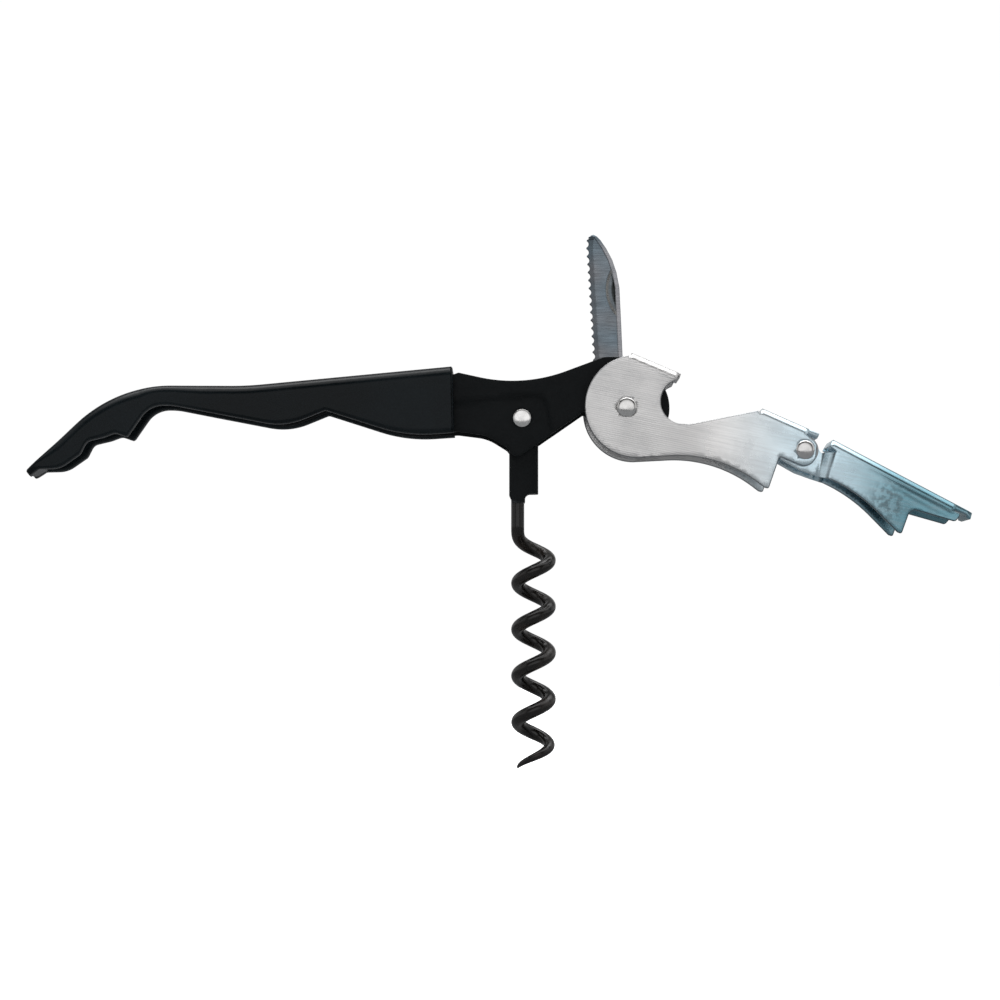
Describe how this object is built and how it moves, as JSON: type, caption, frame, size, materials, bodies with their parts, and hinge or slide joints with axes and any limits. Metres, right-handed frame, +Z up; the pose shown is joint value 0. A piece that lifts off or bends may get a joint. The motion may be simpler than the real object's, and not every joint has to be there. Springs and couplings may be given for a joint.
{
  "type": "waiters corkscrew",
  "caption": "Double-hinged waiters corkscrew, opened: curved grip, hanging worm on a folded clip, serrated foil knife and a two-stage bottle lever with a cap lifter.",
  "frame": {"origin": "the point of the worm", "axes": "+Z up along the worm towards the handle, +X towards the lever, Y along the rivets with -Y the face first seen; the tool lies opened in the XZ plane"},
  "size_m": [0.1781, 0.015, 0.1016],
  "materials": {
    "black_paint": "satin black paint on stamped steel",
    "black_grip": "glossy black moulding",
    "worm_coating": "glossy black low-friction coating",
    "knife_steel": "ground blade steel",
    "plated_steel": "bright plated sheet with fine lines left by rolling",
    "rivet_steel": "bright domed rivet heads",
    "inner_steel": "plain steel bushes, washers, spacer and spring"
  },
  "bodies": {
    "handle": {"front_cheek": "black_paint", "rear_cheek": "black_paint", "spine_spacer": "inner_steel", "backspring": "inner_steel", "spring_rivet": "rivet_steel", "frame_rivet_1": "black_paint", "frame_rivet_2": "black_paint", "grip_shell": "black_grip", "worm_rivet": "rivet_steel", "lever_rivet": "rivet_steel", "worm_bush_front": "inner_steel", "worm_bush_rear": "inner_steel", "knife_bush_front": "inner_steel", "knife_bush_rear": "inner_steel", "lever_washer_front": "inner_steel", "lever_washer_rear": "inner_steel"},
    "worm": {"worm_clip": "black_paint", "worm_wire": "worm_coating"},
    "knife": {"knife_blade": "knife_steel"},
    "lever": {"lever_arm": "plated_steel", "tip_rivet": "rivet_steel", "tip_washer_front": "inner_steel", "tip_washer_rear": "inner_steel"},
    "lever_tip": {"tip_arm": "plated_steel"}
  },
  "joints": [
    {"name": "worm_fold", "type": "hinge", "parent": "handle", "child": "worm", "pos_m": [-0.0022, 0, 0.066], "axis": [0, 1, 0], "range_deg": [0, 92]},
    {"name": "knife_fold", "type": "hinge", "parent": "handle", "child": "knife", "pos_m": [0.0175, 0, 0.0679], "axis": [0, -1, 0], "range_deg": [0, 70]},
    {"name": "lever_fold", "type": "hinge", "parent": "handle", "child": "lever", "pos_m": [0.0175, 0, 0.0679], "axis": [0, 1, 0], "range_deg": [0, 80]},
    {"name": "tip_fold", "type": "hinge", "parent": "lever", "child": "lever_tip", "pos_m": [0.051, 0, 0.0599], "axis": [0, -1, 0], "range_deg": [0, 45]}
  ]
}
